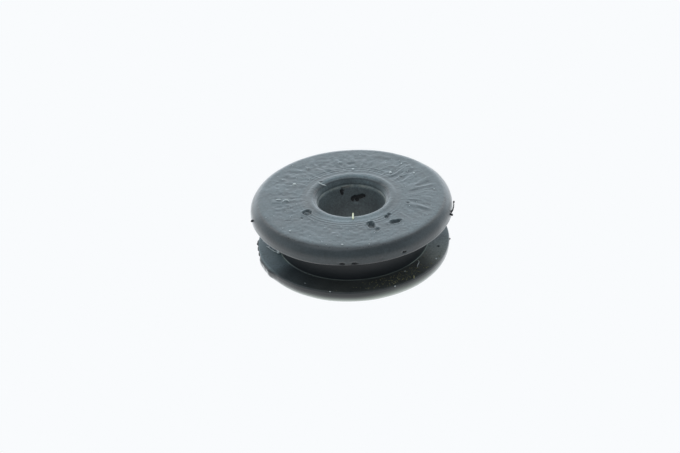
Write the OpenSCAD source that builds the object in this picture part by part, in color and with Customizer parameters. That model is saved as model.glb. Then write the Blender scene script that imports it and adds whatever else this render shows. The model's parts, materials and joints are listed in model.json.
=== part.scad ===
// Rubber grommet: one moulded ring that lines a round hole in a panel and guards the cable that
// runs through it. The panel's edge sits in the groove between the two flanges.
// Millimetres, +Z up. The origin is on the bore's axis, at the bottom face.

/* [Flanges] */
// Diameter of the top flange
top_d = 24; // [21:0.5:40]
// Thickness of the top flange
top_t = 2; // [1.8:0.1:4]
// Diameter of the bottom flange, a little smaller so that it pushes through the panel
bottom_d = 23; // [21:0.5:40]
// Thickness of the bottom flange
bottom_t = 2; // [2:0.1:4]

/* [Groove] */
// Diameter of the neck, which is the size of the panel's hole
neck_d = 18; // [14:0.5:19]
// Width of the groove, which is the thickness of the panel
groove_w = 4; // [1:0.5:8]
// Size of the bead of mould flash round the foot of the neck
flash_bead = 0.12; // [0.05:0.01:0.3]

/* [Cable bore] */
// Diameter of the bore
bore_d = 8; // [4:0.5:9]
// Rounding of the bore's upper mouth
mouth_round = 0.9; // [0.3:0.1:1]
// Rounding of the bore's lower mouth
foot_round = 0.5; // [0.2:0.1:1]
// Width of the small ledge where the mould's two core pins met
core_ledge = 0.1; // [0.05:0.05:0.3]

/* [Flange edges] */
// Rounding of the top flange's upper edge
top_upper_round = 1.4; // [0.2:0.1:1.4]
// Rounding of the top flange's lower edge, on the groove
top_lower_round = 0.4; // [0.1:0.1:0.4]
// Rounding of the bottom flange's upper edge, on the groove
bottom_upper_round = 0.2; // [0.1:0.1:0.3]
// Rounding of the bottom flange's lower edge
bottom_lower_round = 1.7; // [0.2:0.1:1.7]

/* [Wear] */
// Depth of the dents in the top face
dent_depth = 0.35; // [0.1:0.05:0.4]

/* [Hidden] */
$fn = 180;
rubber_grey = "#3c4145";

height = bottom_t + groove_w + top_t;
bore_r = bore_d / 2;
mouth_r = bore_r + core_ledge;
// The ledge lies just under the rounding of the upper mouth
ledge_z = height - mouth_round - core_ledge;
// How far a cutting shape reaches past the face that it cuts
past = 1;
// Each dent in the top face: X, Y and its width there
dents = [[-5.3, -3, 1.4], [2.1, -6.5, 1.2], [4.1, -4.9, 0.9], [4.9, -6.2, 1.1]];

// The waste outside a corner's rounding, for a corner with rubber on the side that inward points to
module corner_waste(corner, inward, r) {
    translate(corner)
        mirror([inward.x < 0 ? 1 : 0, 0])
            mirror([0, inward.y < 0 ? 1 : 0])
                difference() {
                    translate([-past, -past]) square(r + past);
                    translate([r, r]) circle(r);
                }
}

// The square-edged section: two flanges on a neck, with the bead of flash in the lower corner
module plain_section() {
    square([bottom_d / 2, bottom_t]);
    square([neck_d / 2, height]);
    translate([0, height - top_t]) square([top_d / 2, top_t]);
    translate([neck_d / 2, bottom_t]) circle(flash_bead);
}

// The bore's half section, a little wider above the ledge
module bore_section() {
    translate([0, -past]) square([bore_r, height + 2 * past]);
    translate([0, ledge_z]) square([mouth_r, height - ledge_z + past]);
}

// The whole section on one side of the axis: X is the radius and Y is the height
module section() {
    difference() {
        plain_section();
        bore_section();
        corner_waste([top_d / 2, height], [-1, -1], top_upper_round);
        corner_waste([top_d / 2, height - top_t], [-1, 1], top_lower_round);
        corner_waste([bottom_d / 2, bottom_t], [-1, -1], bottom_upper_round);
        corner_waste([bottom_d / 2, 0], [-1, 1], bottom_lower_round);
        corner_waste([mouth_r, height], [1, -1], mouth_round);
        corner_waste([bore_r, 0], [1, 1], foot_round);
    }
}

// A round dent in the top face, scooped by a ball that leaves the stated width and depth
module dent(x, y, width) {
    ball_r = (pow(width / 2, 2) + pow(dent_depth, 2)) / (2 * dent_depth);
    translate([x, y, height - dent_depth + ball_r]) sphere(ball_r);
}

module grommet() {
    color(rubber_grey)
        difference() {
            rotate_extrude() section();
            for (d = dents) dent(d.x, d.y, d.z);
        }
}

grommet();
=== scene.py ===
"""A worn rubber grommet lying on a bright white table.

The sections follow the grommet as it comes to be: the moulded ring with its wear, the crumbs of
rubber torn loose round its edges, the grit and fibres that have settled on it, and the table.
"""

import json

import bpy
import numpy as np
from mathutils import Matrix, Vector


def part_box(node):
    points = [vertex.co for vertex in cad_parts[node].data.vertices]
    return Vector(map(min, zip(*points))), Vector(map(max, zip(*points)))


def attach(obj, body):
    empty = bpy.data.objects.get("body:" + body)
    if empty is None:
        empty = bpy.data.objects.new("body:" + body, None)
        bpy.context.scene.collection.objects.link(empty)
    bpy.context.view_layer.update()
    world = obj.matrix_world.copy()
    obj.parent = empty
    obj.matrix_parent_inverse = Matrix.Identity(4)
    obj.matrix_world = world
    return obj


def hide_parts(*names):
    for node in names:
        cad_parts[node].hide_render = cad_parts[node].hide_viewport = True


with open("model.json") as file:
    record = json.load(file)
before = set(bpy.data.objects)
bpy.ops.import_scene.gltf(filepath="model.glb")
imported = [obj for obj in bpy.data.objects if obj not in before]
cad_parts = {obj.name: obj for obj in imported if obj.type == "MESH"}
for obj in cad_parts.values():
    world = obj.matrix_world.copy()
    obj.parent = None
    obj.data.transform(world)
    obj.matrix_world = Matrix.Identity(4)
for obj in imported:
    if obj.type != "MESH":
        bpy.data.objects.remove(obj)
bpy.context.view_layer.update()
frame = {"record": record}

# ---------------------------------------------------------------- the moulded ring
# One ring of black rubber, moulded in a single shot between two mould halves and two core pins.
# Two flanges stand on a short neck, and a cable bore with rounded mouths runs through.
# Sizes are in millimetres. Angles round the bore are in degrees, 0 at the right and 270 in front.

low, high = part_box("grommet")
bore_mount = next(m for m in frame["record"]["mounts"] if m["name"] == "cable_bore")
height = (high.z - low.z) * 1000
rim_r = high.x * 1000
bore_r = bore_mount["dims"]["r_mm"]
flange_t = height / 4
rim_t = flange_t + 0.1
foot_r = rim_r - 0.5
neck_r = rim_r * 0.75
upper_round = 1.4
groove_round = 0.3
foot_edge_round = 0.2
foot_round = 1.55
mouth_round = 0.9
# The bore's upper mouth, from the face inwards: a wide round that starts at lip_r, a gentle slope, a
# tight corner, and a steep wall down to the ledge. Slopes are in degrees from level.
lip_r = 5.0
lip_wide_round = 1.2
lip_slope = 22
lip_corner_round = 0.35
lip_wall_slope = 73
lower_mouth_round = 0.5
core_ledge = 0.1
flash_bead = 0.07
STEPS_ROUND = 480


def straight(start, end, step):
    """Points from start towards end, evenly spaced by about step, without the end itself."""
    start, end = np.array(start), np.array(end)
    count = max(1, round(np.linalg.norm(end - start) / step))
    share = np.arange(count)[:, None] / count
    return start + (end - start) * share


def rounding(centre, r, start, end, step):
    """Points centre + r * (cos a, sin a) as a goes from start to end degrees, without the end itself."""
    count = max(2, round(abs(np.radians(end - start)) * r / step))
    a = np.radians(start + (end - start) * np.arange(count) / count)
    return np.array(centre) + r * np.stack([np.cos(a), np.sin(a)], -1)


def ring_section():
    """The closed outline of the rubber on one side of the axis, as (radius, height) points, clockwise."""
    ledge_z = height - mouth_round - core_ledge
    ledge_edge = np.array([bore_r + core_ledge, ledge_z + core_ledge])
    gentle, steep = np.radians(90 + lip_slope), np.radians(90 + lip_wall_slope)
    slope_top = np.array([lip_r, height - lip_wide_round])
    slope_top += lip_wide_round * np.array([np.cos(gentle), np.sin(gentle)])
    # The corner's centre is one corner radius behind both the gentle slope and the steep wall.
    towards = np.array([[np.cos(gentle), np.sin(gentle)], [np.cos(steep), np.sin(steep)]])
    reach = np.array([towards[0] @ slope_top, towards[1] @ ledge_edge]) - lip_corner_round
    corner = np.linalg.solve(towards, reach)
    slope_foot = corner + lip_corner_round * towards[0]
    wall_top = corner + lip_corner_round * towards[1]
    return np.concatenate([
        straight([lip_r, height], [rim_r - upper_round, height], 0.085),
        rounding([rim_r - upper_round, height - upper_round], upper_round, 90, 0, 0.085),
        straight([rim_r, height - upper_round], [rim_r, height - rim_t + groove_round], 0.1),
        rounding([rim_r - groove_round, height - rim_t + groove_round], groove_round, 0, -90, 0.08),
        straight([rim_r - groove_round, height - rim_t], [neck_r, height - rim_t], 0.6),
        straight([neck_r, height - rim_t], [neck_r, flange_t + 2 * flash_bead], 0.45),
        straight([neck_r, flange_t + 2 * flash_bead], [neck_r, flange_t + flash_bead], 0.03),
        rounding([neck_r, flange_t], flash_bead, 90, 0, 0.03),
        straight([neck_r + flash_bead, flange_t], [neck_r + 2 * flash_bead, flange_t], 0.03),
        straight([neck_r + 2 * flash_bead, flange_t], [foot_r - foot_edge_round, flange_t], 0.16),
        rounding([foot_r - foot_edge_round, flange_t - foot_edge_round], foot_edge_round, 90, 0, 0.08),
        straight([foot_r, flange_t - foot_edge_round], [foot_r, foot_round], 0.1),
        rounding([foot_r - foot_round, foot_round], foot_round, 0, -90, 0.2),
        straight([foot_r - foot_round, 0], [bore_r + lower_mouth_round, 0], 1.0),
        rounding([bore_r + lower_mouth_round, lower_mouth_round], lower_mouth_round, -90, -180, 0.16),
        straight([bore_r, lower_mouth_round], [bore_r, ledge_z], 0.4),
        straight([bore_r, ledge_z], [bore_r + core_ledge, ledge_z], 0.05),
        straight([bore_r + core_ledge, ledge_z], ledge_edge, 0.05),
        straight(ledge_edge, wall_top, 0.08),
        rounding(corner, lip_corner_round, 90 + lip_wall_slope, 90 + lip_slope, 0.05),
        straight(slope_foot, slope_top, 0.08),
        rounding([lip_r, height - lip_wide_round], lip_wide_round, 90 + lip_slope, 90, 0.1),
    ])


def lumps(points, size, seed):
    """Smooth noise from -1 to 1. Each corner of a cubic lattice with cells of the given size has a
    random value, and the eight round a point are blended by t*t*t*(t*(t*6-15)+10) along each axis."""
    cells = points / size
    base = np.floor(cells).astype(int)
    t = cells - base
    t = t * t * t * (t * (t * 6 - 15) + 10)
    table = np.random.default_rng(seed).uniform(-1, 1, 8191)
    total = np.zeros(points.shape[:-1])
    for corner in np.ndindex(2, 2, 2):
        key = (base + corner) @ np.array([157, 1721, 3833])
        total += table[key % len(table)] * np.prod(np.where(corner, t, 1 - t), -1)
    return total


def fade(value, start, end):
    """0 below start, 1 above end, and smooth between."""
    t = np.clip((value - start) / (end - start), 0, 1)
    return t * t * (3 - 2 * t)


def around(angle, centre, half_width):
    """1 near the centre angle, falling smoothly to 0 at half_width degrees on either side."""
    away = np.abs((angle - centre + 180) % 360 - 180)
    return 1 - fade(away, 0.4 * half_width, half_width)


def pit(x, y, at, size, turn, seed):
    """How deep a point lies in a torn pit, from 0 outside to 1 on its floor, and its raised lip. The
    outline is an ellipse of the given size, turned in degrees, with a ragged edge from noise."""
    c, s = np.cos(np.radians(turn)), np.sin(np.radians(turn))
    u = ((x - at[0]) * c + (y - at[1]) * s) / (size[0] / 2)
    v = ((y - at[1]) * c - (x - at[0]) * s) / (size[1] / 2)
    ragged = lumps(np.stack([x, y, np.full_like(x, seed)], -1), 0.35, seed) * 0.22
    away = np.hypot(u, v) + ragged
    return 1 - fade(away, 0.72, 1.12), np.exp(-(((away - 1.25) / 0.22) ** 2))


section = ring_section()
turns = np.arange(STEPS_ROUND) * 2 * np.pi / STEPS_ROUND
along = np.roll(section, -1, 0) - np.roll(section, 1, 0)
along /= np.linalg.norm(along, axis=1)[:, None]
base_r = section[:, :1] + 0 * turns
base_z = section[:, 1:] + 0 * turns
out_r, out_z = -along[:, 1:], along[:, :1]
place = np.stack([base_r * np.cos(turns), base_r * np.sin(turns), base_z], -1)
x, y = place[..., 0], place[..., 1]
degrees = np.degrees(turns)[None, :] + 0 * base_r

on_top = fade(base_z, height - 0.25, height - 0.05) * fade(out_z, 0.7, 0.95)
on_rim = fade(base_z, height - rim_t, height - rim_t + 0.2) * fade(base_r, 10, 10.8)

# The whole surface wanders a little, as soft rubber does after years in a panel.
rise = 0.05 * lumps(place, 6.0, 11) + 0.018 * lumps(place, 1.7, 12)

# Wrinkles run out over the top face, and stop at a smooth band inside the rim. On the right they
# are long and fan out from a point beside the bore. Elsewhere they are short, fine and radial.
swirl = 0.35 * lumps(place, 2.6, 21) + 0.12 * lumps(place, 0.9, 22)


def spokes(centre, reach, width, length, seed):
    """Noise stretched away from a centre: a lattice round a circle of radius reach, where its cells
    are of the given width, and of the given length along the radius."""
    away_x, away_y = x - centre[0], y - centre[1]
    away_r = np.hypot(away_x, away_y)
    a = np.arctan2(away_y, away_x) + swirl / reach
    k = reach / width
    return lumps(np.stack([k * np.cos(a), k * np.sin(a), away_r / length], -1), 1.0, seed)


def crests(noise):
    """Sharp crests with round valleys between them, from noise: 1 - 2 * sqrt(|noise|) or so."""
    return 1 - 2.4 * np.sqrt(np.abs(noise) + 0.01)


patchy = np.clip(0.95 + 0.4 * lumps(place, 1.6, 25), 0.5, 1.3)
inner, outer = fade(base_r, 5.5, 6.5), 1 - fade(base_r, 9.4, 10.4)
right = around(degrees, 0, 60) * fade(base_r, 6.3, 7.6) * outer
back_right = around(degrees, 52, 38) * inner * outer
back = around(degrees, 108, 48) * inner * outer
left = around(degrees, 172, 52) * inner * outer
front = around(degrees, 262, 62) * fade(base_r, 6.4, 7.0) * (1 - fade(base_r, 10.0, 10.8))
# The long wrinkles fan out from beside the bore, and the others run out from its axis.
fan = (4.0, -0.6)
axis = (0, 0)
long_wrinkles = 0.038 * crests(spokes(fan, 5, 0.75, 3.0, 31)) + 0.036 * spokes(fan, 5, 0.42, 1.8, 32)
coarse_wrinkles = 0.036 * crests(spokes(axis, 9, 0.8, 1.5, 33)) + 0.036 * spokes(axis, 9, 0.4, 1.0, 34)
wrinkles = right * long_wrinkles + back_right * coarse_wrinkles
wrinkles += back * (0.050 * spokes(axis, 9, 0.5, 1.3, 35) + 0.040 * lumps(place, 0.5, 36))
wrinkles += left * (0.024 * spokes(axis, 9, 0.42, 1.5, 37) + 0.028 * lumps(place, 0.42, 38))
wrinkles += front * (0.028 * lumps(place, 0.75, 39) + 0.028 * lumps(place, 0.4, 40))
rise += on_top * (patchy * wrinkles + 0.014 * lumps(place, 0.28, 26))

# A smooth lip stands round the bore, with a few faint tool rings just outside it.
lip = fade(base_r, 4.5, 4.85) * (1 - fade(base_r, 5.05, 5.45)) * on_top
ring_wave = np.sin((base_r + 0.06 * lumps(place, 2.0, 41) - 5.75) * 2 * np.pi / 0.42)
rings = fade(base_r, 5.6, 5.9) * (1 - fade(base_r, 6.6, 7.1)) * on_top
ring_sides = 0.35 + 0.65 * np.maximum(around(degrees, 265, 75), around(degrees, 95, 60))
rise += 0.06 * lip + 0.018 * rings * ring_sides * ring_wave

# Torn pits in the top face: place, size across, turn of the long side, depth, and how black it is
# painted, the torn rubber's own black together with painted shade in the pit. Every one lies at the
# place where the part has its dents, or close by.
pits = [
    ((-5.30, -3.15), (1.10, 1.15), 0, 0.24, 0.48),
    ((2.05, -6.70), (0.85, 1.45), 10, 0.40, 0.54),
    ((2.75, -7.80), (0.45, 0.85), -20, 0.12, 0.35),
    ((3.95, -5.05), (0.55, 0.80), -35, 0.24, 0.48),
    ((4.25, -4.60), (0.45, 0.55), 0, 0.20, 0.42),
    ((4.85, -6.20), (1.55, 0.72), 22, 0.32, 0.54),
    ((-7.5, -4.7), (0.7, 0.35), 0, 0.04, 0.1),
    ((-5.9, -4.35), (0.5, 0.3), -60, 0.06, 0.2),
    ((6.6, -2.35), (0.3, 0.4), 0, 0.10, 0.5),
    ((6.1, 3.7), (0.35, 0.35), 0, 0.10, 0.4),
    ((-3.6, 3.5), (0.7, 0.35), 40, 0.08, 0.4),
]
# This mark is the torn rubber's own black together with painted shade in the pits and nicks.
torn_and_painted_shade = np.zeros_like(base_r)
for number, (at, size, turn, depth, black) in enumerate(pits):
    floor, edge = pit(x, y, at, size, turn, 50 + number)
    rise += on_top * (0.14 * depth * edge - depth * floor)
    torn_and_painted_shade = np.maximum(torn_and_painted_shade, on_top * floor * black)
# A stub of rubber still stands in the middle of the first pit.
stub = np.exp(-(((x - pits[0][0][0] + 0.08) ** 2 + ((y - pits[0][0][1]) / 0.9) ** 2) / 0.07))
rise += 0.2 * on_top * stub
torn_and_painted_shade *= 1 - 0.8 * stub

# Nicks in the lower edge of the top flange's rim: angle, height above the foot, width, depth.
nicks = [
    (262.3, 6.26, 0.42, 0.20),
    (269.0, 6.26, 0.50, 0.20),
    (297.6, 6.55, 0.30, 0.16),
    (284.5, 6.50, 0.20, 0.05),
]
for angle, level, width, depth in nicks:
    along_rim = np.radians((degrees - angle + 180) % 360 - 180) * rim_r
    cut = np.exp(-(((along_rim / width) ** 2 + ((base_z - level) / 0.18) ** 2) * 2))
    rise -= depth * on_rim * cut
    # The nick is painted black as well: torn rubber with painted shade in its hollow.
    torn_and_painted_shade = np.maximum(torn_and_painted_shade, on_rim * np.minimum(depth * 10 * cut, 1))

# Flash left in the corner between the neck and the bottom flange: a thin fin that wanders.
fin = np.exp(-((base_r - neck_r - 0.04) ** 2 + (base_z - flange_t - 0.04) ** 2) / 0.0011)
fin *= 0.75 + 0.25 * lumps(place, 1.2, 61)
rise += 0.06 * fin

# The bottom flange's edge is ragged on its left side, where it was trimmed by hand. There it stands
# out in front, and is cut back behind.
edge_side = fade(base_z, 0.5, 1.2) * (1 - fade(base_z, flange_t - 0.25, flange_t - 0.05))
edge_side *= fade(base_r, 10.8, 11.3)
ragged = around(degrees, 190, 38) * edge_side
rise += ragged * (0.06 * lumps(place, 1.1, 71) + 0.04 * lumps(place, 0.5, 72))
rise += edge_side * (0.20 * around(degrees, 203, 14) - 0.15 * around(degrees, 181, 14))
on_ledge = fade(out_z, 0.2, 0.9) * (1 - fade(base_z, flange_t, flange_t + 0.3))
rise += on_ledge * 0.012 * lumps(place, 1.3, 73)

# Above the ledge that the core pins left in the bore runs a crease.
ledge_z = height - mouth_round - core_ledge
in_bore = 1 - fade(base_r, bore_r + 0.4, bore_r + 0.7)
crease = in_bore * np.exp(-(((base_z - ledge_z - 0.14) / 0.09) ** 2))
rise += in_bore * 0.02 * lumps(place, 0.9, 81) - 0.08 * crease

place[..., 0] += rise * out_r * np.cos(turns)
place[..., 1] += rise * out_r * np.sin(turns)
place[..., 2] += rise * out_z
# The foot stays flat on the table.
place[..., 2] = np.maximum(place[..., 2], 0)


def smooth_object(name, points, faces):
    """A smooth-shaded object from points in millimetres and faces as lists of point numbers."""
    mesh = bpy.data.meshes.new(name)
    mesh.from_pydata((points / 1000).tolist(), [], faces)
    mesh.polygons.foreach_set("use_smooth", np.ones(len(faces), bool))
    piece = bpy.data.objects.new(name, mesh)
    bpy.context.scene.collection.objects.link(piece)
    return piece


def closed_grid(name, points):
    """A surface on a grid that joins up both ways. Rows follow the section and columns the turns, and
    each face takes a point, the next in its column, and so on round, so that it points outwards."""
    rows, columns = points.shape[:2]
    index = np.arange(rows * columns).reshape(rows, columns)
    down, across = np.roll(index, -1, 0), np.roll(index, -1, 1)
    faces = np.stack([index, down, np.roll(down, -1, 1), across], -1).reshape(-1, 4)
    return smooth_object(name, points.reshape(-1, 3), faces.tolist())


def point_values(piece, name, values):
    """Keeps one number for each point of a piece's mesh, for its material to read."""
    attribute = piece.data.attributes.new(name, "FLOAT", "POINT")
    attribute.data.foreach_set("value", values.astype(np.float32).ravel())


def linear(hex_colour, alpha=1.0):
    """An sRGB hex colour as linear RGBA: c / 12.92 up to 0.04045, else ((c + 0.055) / 1.055) ** 2.4."""
    c = np.array([int(hex_colour[i:i + 2], 16) for i in (1, 3, 5)]) / 255
    c = np.where(c <= 0.04045, c / 12.92, ((c + 0.055) / 1.055) ** 2.4)
    return (*c.tolist(), alpha)


def add_node(material, kind, settings=None, **links):
    """Adds a node, sets its properties and inputs from settings, and links an output socket to each
    input named in links, where _ stands for a space, and i with a number for the input's number."""
    node = material.node_tree.nodes.new(kind)
    for key, value in (settings or {}).items():
        if hasattr(node, key):
            setattr(node, key, value)
        else:
            node.inputs[key].default_value = value
    for key, socket in links.items():
        numbered = key[0] == "i" and key[1:].isdigit()
        target = node.inputs[int(key[1:])] if numbered else node.inputs[key.replace("_", " ")]
        material.node_tree.links.new(socket, target)
    return node


def new_material(name):
    """An empty node material and its output node."""
    material = bpy.data.materials.new(name)
    material.use_nodes = True
    material.node_tree.nodes.clear()
    return material, material.node_tree.nodes.new("ShaderNodeOutputMaterial")


# A pattern's scale counts its cells along a metre: so many to the millimetre, times PER_MM.
PER_MM = 1000


def rubber_with_bloom_and_painted_light(name, black, sheen, roughness):
    """Carbon-black rubber, moulded against dull steel, under a bloom of wax and dust. It gives a deep
    grey-black with a soft sheen, and is paler and duller where the bloom lies; the same attribute also
    carries painted light and painted shade. A pale grey-green is mixed in as painted light, a painted
    reflection of the table on the lower edge and a painted highlight on the fin. black is its colour
    without bloom, and roughness holds two values, without bloom and with it."""
    material, out = new_material(name)
    spot = add_node(material, "ShaderNodeTexCoord").outputs["Object"]
    # This attribute holds the bloom, and painted light and painted shade as well.
    bloom = add_node(material, "ShaderNodeAttribute", {"attribute_name": "bloom"}).outputs["Fac"]
    # Clouds of bloom are about 2 mm across. The grain, about 0.2 mm, is as coarse as it needs to show.
    clouds = add_node(material, "ShaderNodeTexNoise", {"Scale": 0.5 * PER_MM, "Detail": 4}, Vector=spot)
    grain = add_node(material, "ShaderNodeTexNoise", {"Scale": 4.5 * PER_MM, "Detail": 3}, Vector=spot)
    grain = grain.outputs["Fac"]
    mottle = add_node(material, "ShaderNodeMapRange",
                      {"From Min": 0.3, "From Max": 0.7, "To Min": 0.75, "To Max": 1.25},
                      Value=clouds.outputs["Fac"])
    specks = add_node(material, "ShaderNodeMapRange",
                      {"From Min": 0.3, "From Max": 0.7, "To Min": 0.7, "To Max": 1.3}, Value=grain)
    both = add_node(material, "ShaderNodeMath", {"operation": "MULTIPLY"},
                    i0=mottle.outputs[0], i1=specks.outputs[0])
    share = add_node(material, "ShaderNodeMath", {"operation": "MULTIPLY", "use_clamp": True},
                     i0=both.outputs[0], i1=bloom)
    tan_dust = add_node(material, "ShaderNodeAttribute", {"attribute_name": "tan_dust"}).outputs["Fac"]
    wax = add_node(material, "ShaderNodeMix", {"data_type": "RGBA"}, Factor=tan_dust)
    wax.inputs[6].default_value = linear("#6a777b")
    wax.inputs[7].default_value = linear("#8c8b80")
    colour = add_node(material, "ShaderNodeMix", {"data_type": "RGBA"},
                      Factor=share.outputs[0], i7=wax.outputs[2])
    colour.inputs[6].default_value = linear(black)
    # Painted light, pale grey-green: the table's reflection on the lower edge, a highlight on the fin.
    scuff = add_node(material, "ShaderNodeAttribute", {"attribute_name": "scuff"}).outputs["Fac"]
    with_edge_painted_light = add_node(material, "ShaderNodeMix", {"data_type": "RGBA"}, Factor=scuff, i6=colour.outputs[2])
    with_edge_painted_light.inputs[7].default_value = linear("#a8b2a5")
    dull = add_node(material, "ShaderNodeMapRange",
                    {"From Max": 0.5, "To Min": roughness[0], "To Max": roughness[1]},
                    Value=share.outputs[0])
    bump = add_node(material, "ShaderNodeBump", {"Strength": 0.35 * sheen, "Distance": 0.04 / PER_MM},
                    Height=grain)
    shader = add_node(material, "ShaderNodeBsdfPrincipled",
                      {"IOR": 1.52, "Sheen Weight": sheen, "Sheen Roughness": 0.4},
                      Base_Color=with_edge_painted_light.outputs[2], Roughness=dull.outputs[0], Normal=bump.outputs[0])
    material.node_tree.links.new(shader.outputs[0], out.inputs[0])
    return material


def torn_rubber_and_painted_shade():
    """The rubber's inside, torn open: carbon black with no skin, so it is matt, sooty and rough. In the
    pits and nicks its black also serves as painted shade.
    """
    material, out = new_material("torn_black_rubber")
    spot = add_node(material, "ShaderNodeTexCoord").outputs["Object"]
    # Torn grains are about 0.1 mm across.
    grain = add_node(material, "ShaderNodeTexNoise", {"Scale": 9 * PER_MM, "Detail": 3}, Vector=spot)
    grain = grain.outputs["Fac"]
    colour = add_node(material, "ShaderNodeMix", {"data_type": "RGBA"}, Factor=grain)
    colour.inputs[6].default_value = linear("#0d0e0f")
    colour.inputs[7].default_value = linear("#2b2d2e")
    bump = add_node(material, "ShaderNodeBump", {"Strength": 0.6, "Distance": 0.05 / PER_MM}, Height=grain)
    shader = add_node(material, "ShaderNodeBsdfPrincipled", {"Roughness": 0.85, "IOR": 1.52},
                      Base_Color=colour.outputs[2], Normal=bump.outputs[0])
    material.node_tree.links.new(shader.outputs[0], out.inputs[0])
    return material


# Bloom lies on what faces up, on the top face. The slope of the bore's back and, most of all, the
# front of the lip are made paler still as a painted highlight, and the lip's right and left sides
# darker as a painted shade. Hardly any is left where the rubber is torn.
facing_up = fade(out_z, 0.91, 0.997) + 0 * turns
bloom = 0.01 + 0.50 * facing_up * fade(base_z, height - 0.6, height - 0.1)
# The bore's back slope, facing the front, takes a painted highlight.
in_mouth = fade(base_r, 4.3, 4.5) * (1 - fade(base_r, 4.8, 5.1)) * fade(out_z, 0.75, 0.92)
bloom += 0.60 * in_mouth * around(degrees, 90, 70)
# The lip takes a painted highlight at the front and a painted shade on its right and left.
on_lip = fade(base_r, 4.5, 5.0) * (1 - fade(base_r, 5.6, 6.2)) * fade(out_z, 0.8, 0.95)
lip_painted_light = 0.60 * around(degrees, 270, 70)
lip_painted_light -= 0.34 * around(degrees, 0, 70) + 0.50 * around(degrees, 180, 70)
bloom *= 1 + on_lip * lip_painted_light
bloom *= 1 - 0.95 * torn_and_painted_shade
# The bore's wall keeps a film of the mould's release wax, brownish, and made paler towards the
# top as painted light from above. A brownish painted highlight runs along the ledge's uneven edge,
# painted shade darkens the crease above it, and one short paler streak lies on the back.
ledge_painted_highlight = np.exp(-(((base_z - ledge_z + 0.03) / 0.10) ** 2)) * (0.8 + 0.5 * lumps(place, 0.7, 82))
streak = np.exp(-((degrees - 82) / 6) ** 2 - ((base_z - 4.45) / 0.12) ** 2)
wall_film_and_painted_light = 0.52 + 0.12 * fade(base_z, 4.5, 6.5) - 0.20 * crease + 0.55 * ledge_painted_highlight + 1.2 * streak
bloom += in_bore * wall_film_and_painted_light * (1 - fade(base_z, height - 0.4, height - 0.1))
# A little bloom lies on the rim and on the bottom flange, with tan dust in front. The flange's two
# ends are made paler still: painted light where light from behind passes the top flange's shadow.
bloom += 0.15 * fade(base_z, height - rim_t + 0.1, height - rim_t + 0.4) * fade(base_r, 10.8, 11.8)
bloom += on_ledge * (0.17 + 1.1 * around(degrees, 188, 33) + 0.6 * around(degrees, 350, 32))
bloom = np.clip(bloom, 0, 1)
tan = np.maximum(on_ledge * around(degrees, 290, 75), in_bore * (0.10 + 0.6 * ledge_painted_highlight))
# The lower edge is painted pale, a painted reflection of the glowing table, taller on the right
# and fainter on the left. The fin of flash takes a painted highlight, strongest at its two ends.
scuff = (1 - fade(base_z, 0.35, 1.5 + 0.4 * around(degrees, 318, 50))) * fade(out_r, 0.1, 0.4)
scuff *= 0.9 - 0.65 * around(degrees, 185, 50)
ends = np.maximum(around(degrees, 199, 22), around(degrees, 331, 24))
scuff = np.clip(scuff + (0.45 + 0.9 * ends) * fin, 0, 1)

ring = closed_grid("grommet_ring", place)
point_values(ring, "bloom", bloom)
point_values(ring, "tan_dust", tan)
point_values(ring, "scuff", scuff)
# The groove, which the panel's edge kept clean, and the bore below its mouth have bare rubber, with
# hardly any sheen, in a darker black that is painted shade. Torn spots show the rubber's inside.
in_groove = (base_r > neck_r - 0.05) & (base_z > flange_t - 0.05) & (base_z < height - rim_t + 0.2)
in_pipe = (base_r < bore_r + 0.05) & (base_z > 0.3)
material_index = np.where(torn_and_painted_shade > 0.55, 2, np.where(in_groove | in_pipe, 1, 0))
bloomed_and_painted = rubber_with_bloom_and_painted_light("bloomed_black_rubber", "#1d2022", 1.0, (0.24, 0.58))
# Its black is darker than the skin's: painted shade for the groove and the bore, kept on the trim lumps
# too.
bare_rubber_and_painted_shade = rubber_with_bloom_and_painted_light("bare_black_rubber", "#161b1f", 0.08, (0.42, 0.58))
black = torn_rubber_and_painted_shade()
for material in (bloomed_and_painted, bare_rubber_and_painted_shade, black):
    ring.data.materials.append(material)
ring.data.polygons.foreach_set("material_index", material_index.astype(np.int32).ravel())
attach(ring, "root")
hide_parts("grommet")

# ---------------------------------------------------------------- crumbs and shreds of torn rubber
# Crumbs of the same rubber hang on the flanges' edges and stick to the bore's wall, where it was cut
# and rubbed, and one thin shred has peeled from the rim. Each crumb is a lumpy little ball, matt and
# blacker than the moulded skin. The lumps left on the edge by the trimming still have their skin.


def unit_ball(rings, steps):
    """Points and faces of a ball: a pole at each end, with rings of steps points between them, at
    (sin p * cos q, sin p * sin q, cos p) for p and q evenly spaced."""
    p = np.pi * (np.arange(rings) + 1)[:, None] / (rings + 1)
    q = 2 * np.pi * np.arange(steps)[None, :] / steps
    grid = np.stack([np.sin(p) * np.cos(q), np.sin(p) * np.sin(q), np.cos(p) + 0 * q], -1).reshape(-1, 3)
    index = np.arange(rings * steps).reshape(rings, steps) + 1
    onward = np.roll(index, -1, 1)
    quads = np.stack([index[:-1], index[1:], onward[1:], onward[:-1]], -1).reshape(-1, 4)
    top = np.stack([0 * index[0], index[0], onward[0]], -1)
    last = rings * steps + 1
    bottom = np.stack([0 * index[0] + last, onward[-1], index[-1]], -1)
    points = np.concatenate([[[0, 0, 1]], grid, [[0, 0, -1]]])
    return points, quads.tolist() + top.tolist() + bottom.tolist()


def new_piece(name, points, faces, material):
    """A smooth piece of one material that rides on the one body."""
    piece = smooth_object(name, points, faces)
    piece.data.materials.append(material)
    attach(piece, "root")
    return piece


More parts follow.
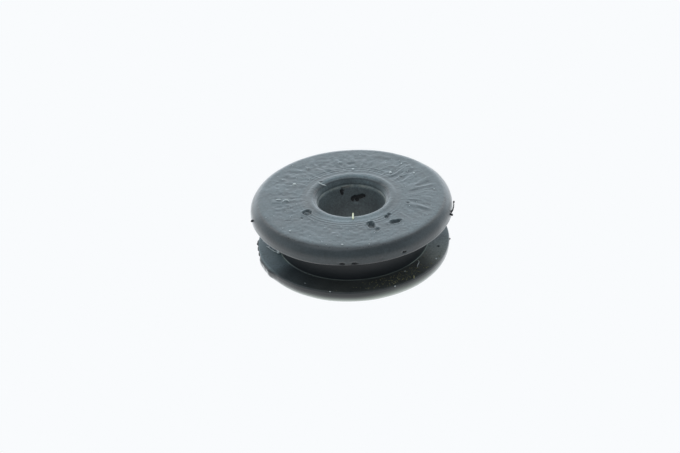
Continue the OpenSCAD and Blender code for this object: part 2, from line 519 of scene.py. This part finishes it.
def pebbles(name, centres, sizes, rings, steps, rough, seed, material):
    """Lumpy little balls in one piece. A ball's points are centre + turn(size / 2 * u * (1 + rough * n)),
    where u is a unit ball, n is smooth noise, and turn sets size's first axis away from the bore."""
    ball, faces = unit_ball(rings, steps)
    centres, sizes = np.array(centres, float), np.array(sizes, float)
    shift = np.random.default_rng(seed).uniform(0, 90, (len(centres), 1, 3))
    swell = 1 + rough * lumps(ball[None] * 1.3 + shift, 1.0, seed)
    local = ball[None] * swell[..., None] * sizes[:, None] / 2
    a = np.arctan2(centres[:, 1], centres[:, 0])[:, None]
    turned = np.stack([local[..., 0] * np.cos(a) - local[..., 1] * np.sin(a),
                       local[..., 0] * np.sin(a) + local[..., 1] * np.cos(a), local[..., 2]], -1)
    points = (centres[:, None] + turned).reshape(-1, 3)
    every = [[i + k * len(ball) for i in face] for k in range(len(centres)) for face in faces]
    return new_piece(name, points, every, material)


def on_wall(angle, r, z):
    """A place at an angle in degrees and a radius from the axis."""
    return (r * np.cos(np.radians(angle)), r * np.sin(np.radians(angle)), z)


# Each crumb: its place, and its size away from the bore, along the edge and upright.
edge_crumbs = [
    ((12.05, -1.42, 7.15), (0.22, 0.24, 0.26)),
    ((11.62, -3.20, 6.98), (0.20, 0.24, 0.20)),
    ((-8.72, -1.95, 2.20), (0.34, 0.34, 0.30)),
    ((11.48, -0.66, 1.50), (0.26, 0.30, 0.26)),
    ((9.97, -2.83, 2.00), (0.34, 0.26, 0.12)),
]
trim_lumps = [
    ((-11.80, -2.70, 7.00), (0.40, 0.26, 0.30)),
    ((11.60, -3.64, 6.80), (0.40, 0.28, 0.28)),
    ((-11.48, 0.60, 1.72), (0.40, 0.90, 0.50)),
    ((-11.44, -0.35, 1.60), (0.36, 0.70, 0.56)),
    ((-11.32, -1.40, 1.60), (0.34, 0.90, 0.60)),
    ((-11.10, -2.65, 1.60), (0.30, 0.80, 0.50)),
    ((-10.75, -3.75, 1.60), (0.26, 0.60, 0.36)),
]
trim = pebbles("trim_lumps", *zip(*trim_lumps), 9, 14, 0.35, 90, bare_rubber_and_painted_shade)
crumbs = pebbles("edge_crumbs", *zip(*edge_crumbs), 9, 14, 0.45, 91, black)
wall_crumbs = [
    (on_wall(105.7, 3.98, 6.40), (0.16, 0.50, 0.62)),
    (on_wall(104.7, 3.98, 6.10), (0.14, 0.34, 0.40)),
    (on_wall(87.5, 3.99, 5.15), (0.10, 0.42, 0.60)),
    (on_wall(82.5, 3.99, 5.42), (0.10, 0.70, 0.44)),
    (on_wall(79.5, 3.98, 5.10), (0.12, 0.56, 0.56)),
    (on_wall(75.0, 3.99, 5.45), (0.10, 0.70, 0.46)),
    (on_wall(70.0, 3.99, 5.62), (0.10, 0.70, 0.50)),
]
spots = pebbles("bore_wall_crumbs", *zip(*wall_crumbs), 9, 14, 0.5, 92, black)


def strand(name, knots, radius, material, sides=8, steps=28):
    """A thin strand along a Bezier curve, sum of C(n, i) * t^i * (1 - t)^(n - i) * knot_i. Its radius
    swells by noise, and goes to a point at both ends as (4 * t * (1 - t)) ^ 0.3."""
    knots = np.array(knots, float)
    n = len(knots) - 1
    t = np.linspace(0, 1, steps)[:, None]
    choose = np.cumprod([1] + [(n - i) / (i + 1) for i in range(n)])
    i = np.arange(n + 1)
    path = (choose * t ** i * (1 - t) ** (n - i)) @ knots
    forward = np.gradient(path, axis=0)
    forward /= np.linalg.norm(forward, axis=1)[:, None]
    across = np.cross(forward, [0.13, 0.21, 0.97])
    across /= np.linalg.norm(across, axis=1)[:, None]
    over = np.cross(across, forward)
    q = np.arange(sides) * 2 * np.pi / sides
    thick = radius * (4 * t * (1 - t) + 0.02) ** 0.3 * (1 + 0.3 * lumps(path * 3, 1.0, 93)[:, None])
    outward = across[:, None] * np.cos(q)[:, None] + over[:, None] * np.sin(q)[:, None]
    points = (path[:, None] + thick[..., None] * outward).reshape(-1, 3)
    index = np.arange(steps * sides).reshape(steps, sides)
    onward = np.roll(index, -1, 1)
    walls = np.stack([index[:-1], onward[:-1], onward[1:], index[1:]], -1).reshape(-1, 4).tolist()
    ends = [index[0, ::-1].tolist(), index[-1].tolist()]
    return new_piece(name, points, walls + ends, material)


shred_path = [
    (11.30, -3.70, 6.9),
    (11.90, -3.40, 7.0),
    (11.90, -2.40, 7.3),
    (12.10, -1.80, 7.2),
    (11.95, -1.35, 7.1),
]
shred = strand("rim_shred", shred_path, 0.065, black)

# ---------------------------------------------------------------- grit, hairs and a straw
# Dirt that has settled on the rubber: grains of pale sand and talc, thin hairs of peeled flash with a
# coat of talc, and one bristle of straw that lies over the bore's edge.


def mineral_grit(name, dark, light):
    """Crushed stone and talc: dry grains, between a dark and a light colour, that hardly shine."""
    material, out = new_material(name)
    spot = add_node(material, "ShaderNodeTexCoord").outputs["Object"]
    # Grains differ from one to the next, on a scale of 2 mm, and in themselves, on a scale of 0.1 mm.
    kinds = add_node(material, "ShaderNodeTexNoise", {"Scale": 0.5 * PER_MM, "Detail": 1}, Vector=spot)
    grain = add_node(material, "ShaderNodeTexNoise", {"Scale": 9 * PER_MM, "Detail": 2}, Vector=spot)
    colour = add_node(material, "ShaderNodeMix", {"data_type": "RGBA"}, Factor=kinds.outputs["Fac"])
    colour.inputs[6].default_value = linear(dark)
    colour.inputs[7].default_value = linear(light)
    bump = add_node(material, "ShaderNodeBump", {"Strength": 0.5, "Distance": 0.04 / PER_MM},
                    Height=grain.outputs["Fac"])
    shader = add_node(material, "ShaderNodeBsdfPrincipled", {"Roughness": 0.7, "IOR": 1.54},
                      Base_Color=colour.outputs[2], Normal=bump.outputs[0])
    material.node_tree.links.new(shader.outputs[0], out.inputs[0])
    return material


def dry_straw():
    """A bristle of dry straw: yellow-white, with fine lines along it and a slight waxy sheen."""
    material, out = new_material("dry_straw")
    spot = add_node(material, "ShaderNodeTexCoord").outputs["Object"]
    # Lines 0.05 mm apart run along the bristle, which lies along Y.
    flat = add_node(material, "ShaderNodeMapping", {"Scale": (20 * PER_MM, 1.5 * PER_MM, 20 * PER_MM)},
                    Vector=spot)
    lines = add_node(material, "ShaderNodeTexNoise", {"Scale": 1.0}, Vector=flat.outputs[0])
    colour = add_node(material, "ShaderNodeMix", {"data_type": "RGBA"}, Factor=lines.outputs["Fac"])
    colour.inputs[6].default_value = linear("#cfc98f")
    colour.inputs[7].default_value = linear("#fbfae6")
    shader = add_node(material, "ShaderNodeBsdfPrincipled", {"Roughness": 0.45, "IOR": 1.5},
                      Base_Color=colour.outputs[2])
    material.node_tree.links.new(shader.outputs[0], out.inputs[0])
    return material


pale = mineral_grit("pale_talc_grit", "#b4b8b2", "#f2f5f5")
ochre = mineral_grit("ochre_sand_grit", "#67624a", "#b3ad80")
top_z = height + 0.03
foot_z = flange_t + 0.02
# The grains that stand out, each with its place and its size.
single_grains = [
    ((-6.69, 3.37, top_z), (0.40, 0.38, 0.26)),
    ((4.93, 4.81, top_z), (0.34, 0.40, 0.22)),
    ((0.45, 6.19, top_z), (0.22, 0.26, 0.12)),
    ((7.75, 4.36, top_z), (0.26, 0.20, 0.14)),
    ((9.86, 0.37, top_z), (0.16, 0.16, 0.10)),
    ((6.39, 6.79, top_z), (0.16, 0.14, 0.08)),
    ((-7.33, -6.99, top_z), (0.20, 0.20, 0.10)),
    ((-1.44, -10.53, top_z), (0.20, 0.26, 0.10)),
    ((-8.98, -2.25, foot_z + 0.12), (0.44, 0.44, 0.30)),
    ((-10.19, -0.84, foot_z), (0.30, 0.16, 0.12)),
    ((9.50, -5.55, foot_z), (0.22, 0.20, 0.12)),
    ((4.36, -10.76, foot_z), (0.16, 0.20, 0.10)),
    ((5.70, -7.79, foot_z), (0.14, 0.18, 0.10)),
    ((-3.15, -10.97, foot_z - 0.05), (0.12, 0.16, 0.10)),
    ((-6.00, -9.02, foot_z), (0.14, 0.14, 0.10)),
]
pebbles("single_grains", *zip(*single_grains), 6, 9, 0.35, 94, pale)


def strewn(name, angles, radii, level, biggest, seed, material):
    """Fine grains on a level face, one for each angle and radius, from 0.05 mm across to biggest."""
    sizes = np.random.default_rng(seed).uniform(0.05, biggest, (len(angles), 3))
    centres = [on_wall(a, r, level) for a, r in zip(angles, radii)]
    return pebbles(name, centres, sizes, 3, 6, 0.3, seed, material)


# Fine grit is strewn at random: pale talc over the wrinkled part of the top face, and ochre sand on
# the front right of the bottom flange.
strew = np.random.default_rng(95)
talc_at = (strew.uniform(0, 360, 60), strew.uniform(6.2, 11.0, 60))
strewn("talc_grains", *talc_at, top_z, 0.11, 96, pale)
sand_at = (strew.normal(302, 14, 150), strew.uniform(9.4, 11.2, 150))
strewn("sand_grains", *sand_at, foot_z, 0.13, 97, ochre)

# Hairs of flash, peeled from the corners, and pale with talc: each one's radius and path.
hairs = {
    "flash_hair_left": (
        0.035, [(-10.5, -0.6, 2.05), (-9.9, -1.6, 2.15), (-9.4, -2.2, 2.05), (-9.0, -2.3, 2.15)]),
    "flash_hair_right": (
        0.035, [(7.35, -5.75, 2.08), (7.7, -6.3, 2.12), (7.0, -6.7, 2.05), (7.25, -7.3, 2.05)]),
    "lip_hair": (
        0.06, [(-3.80, 3.55, 8.05), (-3.65, 3.00, 8.10), (-3.30, 2.95, 8.02), (-2.90, 2.80, 7.95)]),
    "top_hair_a": (
        0.07, [(-8.95, 0.02, 8.07), (-8.6, -0.1, 8.16), (-8.35, -0.02, 8.08)]),
    "top_hair_b": (
        0.06, [(-8.2, -0.5, 8.07), (-7.9, -0.2, 8.14), (-7.5, -0.15, 8.14), (-7.35, -0.6, 8.07)]),
}
for name, (radius, path) in hairs.items():
    strand(name, path, radius, pale, sides=6, steps=20)

# A sliver of sand stands on the bottom flange, and the straw's end rests on the lip of the bore.
sliver_path = [(6.68, -8.85, 2.06), (6.60, -9.15, 2.14), (6.66, -9.45, 2.06)]
strand("sand_sliver", sliver_path, 0.08, ochre)
straw_path = [(0.0, -5.35, 8.06), (0.03, -4.9, 8.10), (0.06, -4.1, 8.16)]
strand("straw_bristle", straw_path, 0.11, dry_straw())

# ---------------------------------------------------------------- the table, the lights and the camera
# The grommet lies on a sheet of white plastic that is lit from beneath, with soft boxes behind and
# above it. The side that the camera looks from is the darker one.


def backlit_acrylic():
    """White opal acrylic, lit evenly from beneath: it glows almost white and hardly takes a shadow."""
    material, out = new_material("backlit_opal_acrylic")
    glow = add_node(material, "ShaderNodeEmission", {"Color": linear("#f9fbfd"), "Strength": 1.0})
    material.node_tree.links.new(glow.outputs[0], out.inputs[0])
    return material


# The table, 6 m wide, lies a hair below the grommet's flat foot, so that they don't share a plane.
table_half_width, table_z = 3000, -0.02
table_corners = [
    (-table_half_width, -table_half_width, table_z),
    (table_half_width, -table_half_width, table_z),
    (table_half_width, table_half_width, table_z),
    (-table_half_width, table_half_width, table_z),
]
table_top = smooth_object("table_top", np.array(table_corners), [(0, 1, 2, 3)])
table_top.data.materials.append(backlit_acrylic())


# The point that every lamp faces, just above the grommet's middle.
middle = Vector((0, 0, 0.005))


def soft_box(name, place, size, power, colour):
    """A rectangular lamp that faces the grommet."""
    lamp = bpy.data.lights.new(name, "AREA")
    lamp.shape = "RECTANGLE"
    lamp.size, lamp.size_y = size
    lamp.energy = power
    lamp.color = linear(colour)[:3]
    holder = bpy.data.objects.new(name, lamp)
    holder.location = place
    holder.rotation_euler = (middle - Vector(place)).to_track_quat("-Z", "Y").to_euler()
    bpy.context.scene.collection.objects.link(holder)


# Each soft box's place and size in metres, its power in watts, and its colour.
soft_box("back_low", (0.0, 0.60, 0.15), (1.3, 0.30), 2.27, "#e9f6ff")
soft_box("back_high", (0.0, 0.50, 0.50), (1.0, 0.36), 1.81, "#ffffff")
soft_box("overhead", (-0.06, 0.06, 0.66), (0.7, 0.40), 1.06, "#ebf5ff")
soft_box("left_wall", (-0.62, 0.10, 0.27), (1.05, 0.56), 0.76, "#eaf8ff")
soft_box("right_wall", (0.62, 0.10, 0.27), (1.05, 0.56), 0.68, "#e2f4ff")

world = bpy.data.worlds.new("studio")
world.use_nodes = True
world.node_tree.nodes["Background"].inputs["Color"].default_value = linear("#e5f5ff")
world.node_tree.nodes["Background"].inputs["Strength"].default_value = 0.45
bpy.context.scene.world = world
bpy.context.scene.view_settings.view_transform = "Standard"

# A long lens, 18 times the rim's radius from the top face and 32 degrees above the table, held a
# little askew.
camera_data = bpy.data.cameras.new("camera")
camera_data.lens = 96.5
camera_data.sensor_width = 36.0
camera_data.clip_start, camera_data.clip_end = 0.01, 20
camera = bpy.data.objects.new("camera", camera_data)
elevation, roll = np.radians(32.26), np.radians(3.50)
away = 18 * rim_r / 1000
ahead = Vector((0, np.cos(elevation), -np.sin(elevation)))
up = Vector((0, np.sin(elevation), np.cos(elevation)))
side = Vector((1, 0, 0))
# Where the top face's centre lies from the middle of the view: to the right and upwards, in metres.
aside, above = 0.001327, 0.003636
camera_up = up * np.cos(roll) + side * np.sin(roll)
camera_side = side * np.cos(roll) - up * np.sin(roll)
camera.location = Vector((0, 0, height / 1000)) - ahead * away - camera_side * aside - camera_up * above
camera.matrix_world = Matrix((
    (camera_side.x, camera_up.x, -ahead.x, camera.location.x),
    (camera_side.y, camera_up.y, -ahead.y, camera.location.y),
    (camera_side.z, camera_up.z, -ahead.z, camera.location.z),
    (0, 0, 0, 1),
))
bpy.context.scene.collection.objects.link(camera)
bpy.context.scene.camera = camera
